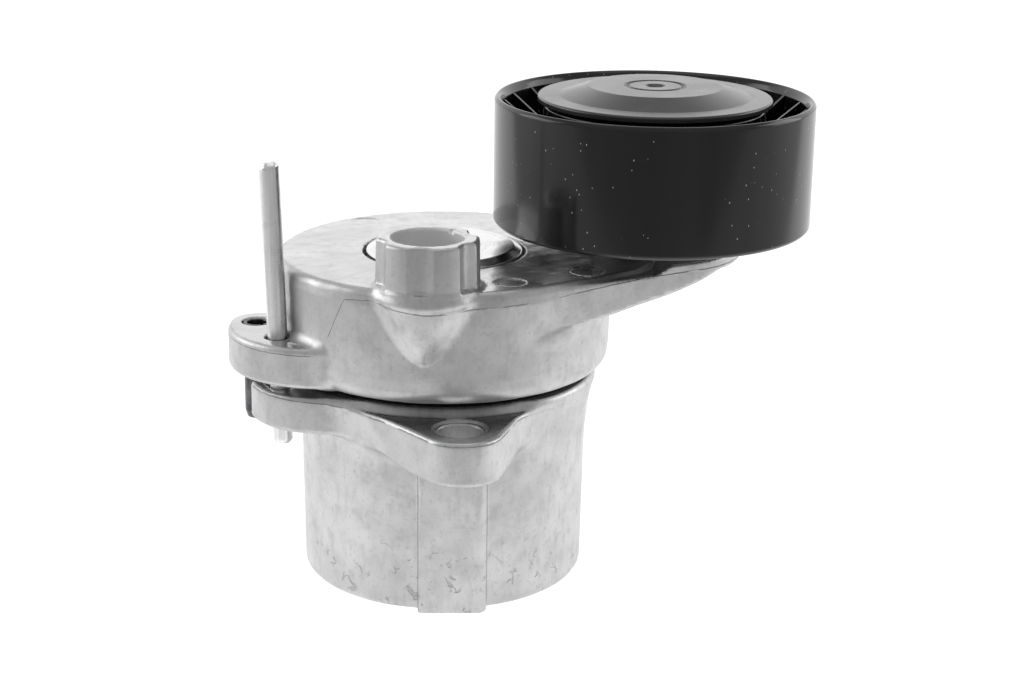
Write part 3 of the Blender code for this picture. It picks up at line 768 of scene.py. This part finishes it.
def cast_aluminium():
    """Die cast skin: cloudy patches, streaks, flecks and grain, wrinkles, parting lines, and a rough bore
    whose lighter colour is painted bounce light.
    """
    look = Look("cast_aluminium", 0.36, metallic=0.86)
    clouds = look.noise(70.0, 4.0, 0.6)
    patches = look.noise(240.0, 5.0, 0.65)
    grain = look.noise(2600.0, 2.0, 0.5)
    streaks = look.noise(1.0, 4.0, 0.6, look.polar((0.0, 0.0), 22.0, 150.0))
    fleck = look.noise(1100.0, 3.0, 0.7)
    wrinkle = cold_wrinkles(look)
    line = parting_line(look)
    mark = look.ramp(look.math("ABSOLUTE", look.stored("pin_mark")), 0.08, 0.34, 1.0, 0.0)
    bore = look.stored("bore")

    tone = look.mix(look.ramp(clouds, 0.32, 0.70), (0.53, 0.53, 0.535), (0.64, 0.64, 0.645))
    tone = look.mix(look.ramp(patches, 0.45, 0.72, 0.0, 0.45), tone, (0.43, 0.43, 0.435))
    tone = look.mix(look.ramp(streaks, 0.50, 0.72, 0.0, 0.35), tone, (0.40, 0.40, 0.405))
    tone = look.mix(look.ramp(fleck, 0.54, 0.70, 0.0, 0.38), tone, (0.36, 0.36, 0.36))
    tone = look.mix(look.math("MULTIPLY", wrinkle, 0.5), tone, (0.26, 0.26, 0.26))
    tone = look.mix(look.math("MULTIPLY", line, 0.6), tone, (0.10, 0.10, 0.10))
    # Painted light: the wrench boss's bore is painted much lighter, in place of the light bouncing round
    # inside it.
    tone = look.mix(bore, tone, (0.88, 0.88, 0.88))

    look.add_bump(mark, -0.05, 0.6)
    look.add_bump(clouds, 0.12, 0.6)
    look.add_bump(patches, 0.06, 0.6)
    look.add_bump(grain, 0.012, 0.5)
    look.add_bump(wrinkle, -0.12, 0.8)
    look.add_bump(line, 0.10, 0.9)

    facing = look.node("ShaderNodeSeparateXYZ")
    look.link(look.node("ShaderNodeTexCoord").outputs["Normal"], facing.inputs[0])
    smooth_top = look.ramp(facing.outputs[2], 0.90, 0.99, 0.0, 0.20)
    rough = look.ramp(patches, 0.3, 0.75, 0.32, 0.44)
    for source, share in ((grain, 0.05), (bore, 0.25)):
        rough = look.math("ADD", rough, look.math("MULTIPLY", source, share))
    return look.finish(tone, look.math("SUBTRACT", rough, smooth_top))


def polished_steel():
    """Turned and polished, with fine rings round the pivot and a few specks."""
    look = Look("polished_steel", 0.16, metallic=1.0)
    rings = look.noise(1.0, 2.0, 0.6, look.polar((0.0, 0.0), 0.6, 3000.0, 9000.0))
    smudge = look.noise(180.0, 3.0)
    speck = look.ramp(look.cells(900.0), 0.16, 0.22, 1.0, 0.0)
    speck = look.math("MULTIPLY", speck, look.ramp(look.noise(240.0), 0.52, 0.6))
    tone = look.mix(look.ramp(rings, 0.3, 0.7), (0.66, 0.66, 0.67), (0.80, 0.80, 0.81))
    tone = look.mix(look.math("MULTIPLY", speck, 0.6), tone, (0.25, 0.25, 0.25))
    look.add_bump(rings, 0.006, 0.6)
    look.add_bump(speck, -0.03, 0.6)
    return look.finish(tone, look.ramp(smudge, 0.3, 0.7, 0.16, 0.28))


def turned_steel(name, tone, centre, roughness):
    """Steel with the fine rings that a lathe leaves round the piece's own axis."""
    look = Look(name, roughness, metallic=1.0)
    rings = look.noise(1.0, 2.0, 0.6, look.polar(centre, 0.5, 7000.0, 7000.0))
    cloud = look.noise(160.0, 3.0)
    dark = tuple(0.78 * part for part in tone)
    colour = look.mix(look.ramp(rings, 0.25, 0.75), dark, tone)
    look.add_bump(rings, 0.008, 0.6)
    return look.finish(colour, look.ramp(cloud, 0.3, 0.7, roughness * 0.8, roughness * 1.3))


def drawn_wire():
    """Drawn steel rod, with long draw marks and dull patches."""
    look = Look("pin_steel", 0.32, metallic=1.0)
    marks = look.noise(1.0, 3.0, 0.6, look.polar(PIN_FOOT[:2], 3.0, 18.0))
    fine = look.noise(1.0, 2.0, 0.5, look.polar(PIN_FOOT[:2], 14.0, 30.0))
    patches = look.noise(330.0, 4.0, 0.6)
    tone = look.mix(look.ramp(marks, 0.3, 0.7), (0.72, 0.72, 0.725), (0.92, 0.92, 0.925))
    tone = look.mix(look.ramp(patches, 0.55, 0.75, 0.0, 0.45), tone, (0.50, 0.50, 0.505))
    look.add_bump(fine, 0.03, 0.5)
    look.add_bump(patches, 0.02, 0.5)
    return look.finish(tone, look.ramp(patches, 0.3, 0.7, 0.24, 0.42))


def spring_steel():
    """Dark heat treated steel with an oily sheen."""
    look = Look("spring_steel", 0.35, metallic=1.0)
    blotch = look.noise(380.0, 4.0, 0.6)
    grain = look.noise(3000.0, 2.0)
    tone = look.mix(look.ramp(blotch, 0.3, 0.7), (0.085, 0.085, 0.09), (0.19, 0.19, 0.20))
    look.add_bump(grain, 0.01, 0.5)
    return look.finish(tone, look.ramp(blotch, 0.3, 0.7, 0.26, 0.45))


def black_nylon():
    """Glossy glass filled nylon: faint upright bands from the belt, and stray dust."""
    look = Look("black_nylon", 0.2, specular=0.55)
    bands = look.noise(1.0, 3.0, 0.55, look.polar(PULLEY, 3.2, 2.0))
    skin = look.noise(900.0, 3.0, 0.5)
    dust = look.ramp(look.cells(820.0, look.stretched((1.0, 1.0, 0.6))), 0.06, 0.11, 1.0, 0.0)
    dust = look.math("MULTIPLY", dust, look.ramp(look.noise(95.0, 3.0, 0.7), 0.46, 0.52))
    tone = look.mix(look.ramp(bands, 0.3, 0.7), (0.0045, 0.0045, 0.005), (0.010, 0.010, 0.0105))
    tone = look.mix(look.math("MULTIPLY", dust, 0.8), tone, (0.62, 0.62, 0.62))
    look.add_bump(skin, 0.003, 0.5)
    rough = look.math("ADD", look.ramp(bands, 0.3, 0.7, 0.09, 0.17), look.math("MULTIPLY", dust, 0.4))
    return look.finish(tone, rough)


def moulded_plastic(name, tone, roughness, grain_scale=2400.0, relief=0.02, specular=0.4):
    """Moulded plastic with a fine spark eroded grain and slight cloudiness."""
    look = Look(name, roughness, specular=specular)
    grain = look.noise(grain_scale, 3.0, 0.6)
    cloud = look.noise(120.0, 3.0)
    dark = tuple(0.82 * part for part in tone)
    light = tuple(1.25 * part for part in tone)
    colour = look.mix(look.ramp(cloud, 0.3, 0.7), dark, tone)
    colour = look.mix(look.ramp(grain, 0.5, 0.8, 0.0, 0.25), colour, light)
    look.add_bump(grain, relief, 0.6)
    return look.finish(colour, look.ramp(cloud, 0.3, 0.7, roughness * 0.9, min(1.0, roughness * 1.15)))


# ---------------------------------------------------------------- marks on the castings

def store_marks(piece, height, fade):
    """Stores for the material how far each point is from the parting line and from the pin marks'
    edges, in millimetres, and whether it lies in the wrench boss's rough bore, which gets painted bounce
    light.

    The distance to the parting line is pushed away from zero by `fade`, where no line shows.
    """
    count = len(piece.data.vertices)
    flat = np.empty(count * 3)
    piece.data.vertices.foreach_get("co", flat)
    x, y, z = flat.reshape(-1, 3).T / MM
    angle = np.degrees(np.arctan2(y, x))
    step = 0.5
    radius = np.maximum(np.hypot(x, y), 5.0)
    climb = (height(angle + step) - height(angle - step)) / (2 * math.radians(step) * radius)
    gap = (z - height(angle)) / np.sqrt(1.0 + climb ** 2)
    gap = gap + np.where(gap < 0, -1.0, 1.0) * np.maximum(fade(x, y, z), 0.0)
    far_below = 20.0 * (z < HUB_TOP_Z - 1.0)
    # Mask of the wrench boss's bore: it gets painted bounce light in its colour, and more roughness.
    rough_bore_painted_light = np.clip(-round_post(x, y, WRENCH, WRENCH_BORE_R + 1.0), 0.0, 1.0) * (z > WRENCH_FLOOR_Z)
    for name, values in (("seam", gap), ("pin_mark", pin_marks(x, y) + far_below), ("bore", rough_bore_painted_light)):
        stored = piece.data.attributes.new(name, "FLOAT", "POINT")
        stored.data.foreach_set("value", values.astype(np.float32))


def base_parting(angle):
    """Height of the can's parting line round the pivot, by the angle in degrees."""
    angles = (-181, -150, -132, -115, -60, 60, 120, 181)
    heights = (42.4, 42.4, 42.0, 41.0, 41.0, 41.0, 42.0, 42.4)
    return np.interp(angle, angles, heights)


def base_fade(x, y, _):
    return (32.2 - np.hypot(x, y)) * 2.0


def arm_parting(angle):
    """Height of the arm's parting line, which drops to its ear on the left."""
    angles = (-181, -134.7, -124, -114, -95, -50, -34, -22, -8, 0, 60, 150, 168, 181)
    heights = (52.0, 52.0, 64.8, 65.3, 64.3, 64.6, 65.6, 66.2, 66.4, 66.4, 64.6, 64.2, 52.0, 52.0)
    return np.interp(angle, angles, heights)


def arm_fade(x, y, z):
    on_top = (z - 66.9) * 3.0
    in_hub = (31.0 - np.hypot(x, y)) * 2.0
    return np.maximum(on_top, in_hub)


# ---------------------------------------------------------------- pieces

def add(piece, body, slot, *nodes):
    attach(piece, body)
    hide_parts(*nodes)
    return piece


def lathe(name, profile, look, centre=(0.0, 0.0), round_off=0.15, segments=128, gap=None):
    return place(name, turned_mesh(name, soften(profile, round_off), centre, segments, gap), look)


def pulley_profile():
    rim = PULLEY_R - 2.0
    top = PULLEY_HIGH
    low = PULLEY_LOW
    hub_low = BEARING_LOW - 2.1
    profile = [(rim + 0.6, top - 0.5), (rim + 1.1, top), (PULLEY_R - 0.5, top), (PULLEY_R, top - 0.6)]
    profile += [(PULLEY_R, low + 0.6), (PULLEY_R - 0.5, low), (rim + 0.6, low), (rim - 0.4, WEB_LOW_Z)]
    profile += [(PULLEY_HUB_R, WEB_LOW_Z), (PULLEY_HUB_R, hub_low), (18.8, hub_low)]
    profile += [(18.8, BEARING_LOW - 0.3), (20.3, BEARING_LOW - 0.3), (20.3, top - 1.3)]
    profile += [(22.0, top - 1.3), (PULLEY_HUB_R, top - 2.0)]
    return profile + [(PULLEY_HUB_R, WEB_HIGH_Z), (rim - 0.4, WEB_HIGH_Z), (rim, top - 1.5)]


def pulley_body(look):
    mesh = turned_mesh("pulley", soften(pulley_profile(), 0.2), PULLEY, 224)
    near, far, half = PULLEY_HUB_R - 0.6, PULLEY_R - 1.6, 0.35
    spokes = [ribs("upper ribs", RIB_COUNT, near, far, half, WEB_HIGH_Z - 0.5, 96.9, 7.0)]
    spokes.append(ribs("lower ribs", RIB_COUNT, near, far, half, WEB_LOW_Z + 0.5, 74.2, -7.0))
    return place("pulley_body", united(mesh, spokes, "pulley_body"), look)


def dust_cover(look):
    crown = CAP_HIGH
    flange = crown - 2.0
    under = PULLEY_HIGH - 0.9
    skirt_out, skirt_in, skirt_low = 20.0, 18.6, 92.5
    profile = [(0.0, crown - 0.9), (1.1, crown - 0.85), (2.1, crown - 0.02), (5.2, crown)]
    profile += [(5.55, crown - 0.42), (6.05, crown - 0.42), (6.4, crown), (13.6, crown)]
    profile += [(19.4, flange + 0.04), (23.5, flange), (23.8, flange - 0.3), (23.8, under)]
    profile += [(skirt_out, under), (skirt_out, skirt_low), (skirt_in, skirt_low), (skirt_in, under)]
    profile += [(13.3, crown - 1.4), (4.0, crown - 1.4), (3.0, crown - 2.3), (0.0, crown - 2.3)]
    return lathe("dust_cover", profile, look, PULLEY, 0.12, 192)


def plate(look):
    profile = [(5.3, PLATE_HIGH), (14.2, PLATE_HIGH), (PLATE_R - 0.12, PLATE_HIGH - 0.9)]
    profile += [(PLATE_R, PLATE_HIGH - 1.1), (PLATE_R, PLATE_LOW), (5.3, PLATE_LOW)]
    return lathe("pivot_plate", profile, look, round_off=0.2, segments=160)


def shaft(look):
    """The pivot, its end pressed down into a low dome over the plate."""
    seat = PLATE_HIGH + 0.08
    profile = [(0.0, SHAFT_HIGH), (3.2, SHAFT_HIGH - 0.05), (5.4, SHAFT_HIGH - 0.28)]
    profile += [(6.9, SHAFT_HIGH - 0.7), (7.4, seat + 0.12), (7.3, seat), (5.0, seat)]
    profile += [(5.0, PLATE_LOW - 0.3), (7.0, PLATE_LOW - 0.3), (7.0, SHAFT_LOW + 0.8)]
    profile += [(6.2, SHAFT_LOW), (0.0, SHAFT_LOW)]
    return lathe("pivot_pin", profile, look, round_off=0.3, segments=96)


def pin(look):
    """The lock pin: a length of wire, sheared off aslant at the top and chamfered at the foot."""
    low = PIN_FOOT[2]
    high = low + PIN_LENGTH
    profile = [(0.0, high - 0.25), (1.15, high - 0.25), (PIN_R - 0.1, high - 0.95), (PIN_R, high - 1.3)]
    profile += [(PIN_R, low + 0.7), (PIN_R - 0.5, low), (0.0, low)]
    mesh = turned_mesh("locking_pin", soften(profile, 0.25), PIN_FOOT[:2], 48)
    for vertex in mesh.vertices:
        share = min(max((vertex.co.z / MM - high + 2.2) / 1.2, 0.0), 1.0)
        vertex.co.z += share * 0.12 * (vertex.co.x - PIN_FOOT[0] * MM)
    foot = Matrix.Translation(Vector(PIN_FOOT) * MM)
    mesh.transform(foot @ Matrix.Rotation(PIN_LEAN, 4, "Y") @ foot.inverted())
    return place("locking_pin", mesh, look)


def rolled_sleeve(look):
    """Spring sleeve rolled from strip, its narrow slit facing forward and in towards the can."""
    profile = [(2.0, SLEEVE_HIGH - 0.15), (2.15, SLEEVE_HIGH), (2.55, SLEEVE_HIGH)]
    profile += [(2.75, SLEEVE_HIGH - 0.2), (2.75, SLEEVE_LOW + 1.4), (2.3, SLEEVE_LOW), (2.0, SLEEVE_LOW)]
    return lathe("rolled_sleeve", profile, look, SLEEVE, 0.1, 56, (-53.0, 293.0))


def race(side):
    """The balls' groove, top to bottom, in the outer (1) or the inner ring (-1)."""
    middle = (BEARING_LOW + BEARING_HIGH) / 2
    angles = np.radians(np.linspace(50, -50, 13))
    depth = side * RACE_GROOVE_R
    return [(RACE_PITCH_R + depth * math.cos(a), middle + RACE_GROOVE_R * math.sin(a)) for a in angles]


def bearing(look, rubber, zinc):
    """Adds the two rings, the two seals and the spacer under the inner ring."""
    low, high = BEARING_LOW, BEARING_HIGH
    land = race(1)[0][0]
    outer = [(land, high), (19.5, high), (20.0, high - 0.5), (20.0, low + 0.5), (19.5, low), (land, low)]
    outer_race = lathe("outer_race", outer + race(1)[::-1], look, PULLEY, 0.12)
    add(outer_race, "pulley", "bearing_steel", "bearing_outer_ring")
    land = race(-1)[0][0]
    inner = [(8.5, high - 0.4), (8.9, high), (land, high)] + race(-1)
    inner += [(land, low), (8.9, low), (8.5, low + 0.4)]
    add(lathe("inner_race", inner, look, PULLEY, 0.12), "arm", "bearing_steel", "bearing_inner_ring")
    for name, node in (("front_seal", "bearing_seal_front"), ("rear_seal", "bearing_seal_rear")):
        bottom, top = (corner[2] for corner in node_box(node))
        seal = [(12.3, top - 0.2), (13.0, top), (13.6, top - 0.2), (14.6, top - 0.2), (15.1, top)]
        seal += [(16.2, top), (16.2, bottom), (12.3, bottom)]
        add(lathe(name, seal, rubber, PULLEY, 0.1), "pulley", "seal_rubber", node)
    bottom, top = (corner[2] for corner in node_box("bearing_spacer"))
    sleeve = [(BOLT_BORE_R, top), (8.0, top), (8.2, top - 0.3), (8.2, low - 0.3), (10.5, low - 0.3)]
    sleeve += [(10.8, low - 0.6), (10.8, bottom + 0.3), (10.5, bottom), (BOLT_BORE_R, bottom)]
    add(lathe("spacer", sleeve, zinc, PULLEY, 0.12), "arm", "zinc_steel", "bearing_spacer")


def coil(look):
    """The torsion spring: a plain helix with closed ends."""
    turns, steps_per_turn = 6, 64
    coil_r, wire_r = 20.5, 2.4
    low, high = 8.6, 57.5
    path = []
    for i in range(turns * steps_per_turn + 1):
        share = i / (turns * steps_per_turn)
        angle = 2 * math.pi * turns * share
        path.append((coil_r * math.cos(angle), coil_r * math.sin(angle), low + (high - low) * share))
    return swept_rod("coil_spring", path, wire_r, 20, look)


def seal_ring(look):
    bottom, top = (corner[2] for corner in node_box("dust_seal_ring"))
    profile = [(27.4, top), (28.0, top - 0.3), (28.8, top), (29.0, top - 0.4), (29.0, bottom + 0.3)]
    profile += [(28.7, bottom), (27.5, bottom), (27.2, bottom + 0.4), (27.2, top - 0.3)]
    return lathe("dust_seal", profile, look, round_off=0.12)


def dress(node, look):
    """Gives a CAD node that keeps its own shape the finished material."""
    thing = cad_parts[node]
    if not thing.material_slots:
        thing.data.materials.append(look)
    for entry in thing.material_slots:
        entry.material = look


def build_pieces():
    cast = cast_aluminium()
    polished = polished_steel()
    black = black_nylon()
    grey = moulded_plastic("grey_nylon", (0.042, 0.042, 0.044), 0.24, relief=0.006, specular=0.72)
    friction = moulded_plastic("friction_nylon", (0.30, 0.28, 0.24), 0.6)
    rubber = moulded_plastic("seal_rubber", (0.025, 0.025, 0.026), 0.7, 1500.0)
    dark = spring_steel()
    ground = turned_steel("bearing_steel", (0.68, 0.68, 0.69), PULLEY, 0.14)
    zinc = turned_steel("zinc_steel", (0.66, 0.67, 0.68), PULLEY, 0.28)

    pitch = NET_PITCH
    base = cast_piece("base_casting", base_field, *BASE_REGION, pitch, cast)
    store_marks(base, base_parting, base_fade)
    add(base, "base", "cast_aluminium", "base_housing")
    arm = cast_piece("arm_casting", arm_field, *ARM_REGION, pitch, cast)
    store_marks(arm, arm_parting, arm_fade)
    add(arm, "arm", "cast_aluminium", "tensioner_arm")

    add(pulley_body(black), "pulley", "black_nylon", "pulley_rim")
    add(dust_cover(grey), "pulley", "grey_nylon", "dust_cap")
    add(plate(polished), "base", "polished_steel", "end_plate")
    add(shaft(polished), "base", "machined_steel", "pivot_shaft")
    add(pin(drawn_wire()), "lock_pin", "pin_steel", "lock_pin")
    add(rolled_sleeve(dark), "arm", "spring_steel", "stop_sleeve")
    add(coil(dark), "base", "spring_steel", "torsion_spring")
    add(seal_ring(rubber), "base", "seal_rubber", "dust_seal_ring")
    bearing(ground, rubber, zinc)

    for node in ("spring_seat", "damping_ring", "friction_disc", "pivot_bush_lower", "pivot_bush_upper"):
        dress(node, friction)
    dress("bearing_cage", friction)
    dress("pulley_bolt", zinc)
    for number in range(1, 9):
        dress(f"bearing_ball_{number}", ground)


# ---------------------------------------------------------------- studio

def add_camera():
    """The camera fitted to the object's ellipses: in metres and radians, looking along +Y and down."""
    pan, tilt, roll = -0.0353, 0.3010, 0.0149
    lens = bpy.data.cameras.new("camera")
    lens.lens = 71.0
    lens.sensor_width = 36.0
    lens.clip_start = 0.01
    camera = bpy.data.objects.new("camera", lens)
    bpy.context.scene.collection.objects.link(camera)
    turn = Matrix.Rotation(pan, 4, "Z") @ Matrix.Rotation(math.pi / 2 - tilt, 4, "X")
    turn = turn @ Matrix.Rotation(roll, 4, "Z")
    camera.matrix_world = Matrix.Translation((0.0, -0.3992, 0.1717)) @ turn
    bpy.context.scene.camera = camera


def add_floor():
    """A pale sheet lit from below, as on a light table.

    Its glow is strongest in a band that widens towards the back, weaker beside and in front of the
    object, and weakest well in front.
    """
    mesh = bpy.data.meshes.new("floor")
    mesh.from_pydata([(-4, -4, 0), (4, -4, 0), (4, 6, 0), (-4, 6, 0)], [], [(0, 1, 2, 3)])
    floor = bpy.data.objects.new("floor", mesh)
    floor.location.z = -0.4 * MM
    bpy.context.scene.collection.objects.link(floor)
    look = Look("floor", 0.9, specular=0.1)
    parts = look.node("ShaderNodeSeparateXYZ")
    look.link(look.place, parts.inputs[0])
    across, depth = parts.outputs[0], parts.outputs[1]
    band_middle, band_spread = 0.06, 0.9
    off_middle = look.math("ABSOLUTE", look.math("SUBTRACT", across, band_middle))
    widening = look.math("MULTIPLY", look.math("MAXIMUM", depth, 0.0), band_spread)
    beside = look.ramp(look.math("SUBTRACT", off_middle, widening), 0.17, 0.25, 1.0, 0.0)
    band = look.math("MULTIPLY", look.ramp(depth, -0.16, -0.055), beside)
    all_over = look.ramp(depth, -0.29, -0.235, 0.10, 0.36)
    glow = look.math("ADD", look.math("MULTIPLY", band, 0.58), all_over)
    paper = look.mix(look.noise(40.0), (0.30, 0.30, 0.30), (0.33, 0.33, 0.33))
    look.shader.inputs["Emission Color"].default_value = (1.0, 1.0, 1.0, 1.0)
    look.link(glow, look.shader.inputs["Emission Strength"])
    mesh.materials.append(look.finish(paper))


def add_softbox(name, at, target, width, height, power):
    light = bpy.data.lights.new(name, "AREA")
    light.shape = "RECTANGLE"
    light.size = width
    light.size_y = height
    light.energy = power
    lamp = bpy.data.objects.new(name, light)
    bpy.context.scene.collection.objects.link(lamp)
    lamp.location = at
    lamp.rotation_euler = (Vector(target) - Vector(at)).to_track_quat("-Z", "Y").to_euler()


def add_world():
    """A white tent: brightest behind the object, dimmer on the camera's side and high overhead."""
    world = bpy.data.worlds.new("tent")
    bpy.context.scene.world = world
    world.use_nodes = True
    tent = Nodes(world.node_tree)
    parts = tent.node("ShaderNodeSeparateXYZ")
    tent.link(tent.node("ShaderNodeTexCoord").outputs["Generated"], parts.inputs[0])
    behind = tent.ramp(parts.outputs[1], 0.0, 0.55)
    below = tent.ramp(parts.outputs[2], 0.80, 0.40, 0.12, 1.0)
    level = tent.ramp(tent.math("MULTIPLY", behind, below), 0.0, 1.0, 0.42, 1.22)
    background = tent.tree.nodes["Background"]
    background.inputs["Color"].default_value = (1.0, 1.0, 1.0, 1.0)
    tent.link(level, background.inputs["Strength"])


def add_studio():
    """Camera, floor, tent and softboxes: in metres, with the power in watts."""
    add_camera()
    add_floor()
    add_world()
    middle = (0.01, 0.0, 0.05)
    add_softbox("left softbox", (-0.75, 0.10, 0.30), middle, 0.5, 0.7, 2.0)
    add_softbox("right softbox", (0.80, 0.15, 0.30), middle, 0.5, 0.7, 1.8)
    add_softbox("top softbox", (0.0, 0.15, 0.95), middle, 0.8, 0.6, 0.9)
    bpy.context.scene.view_settings.view_transform = "Standard"


build_pieces()
add_studio()
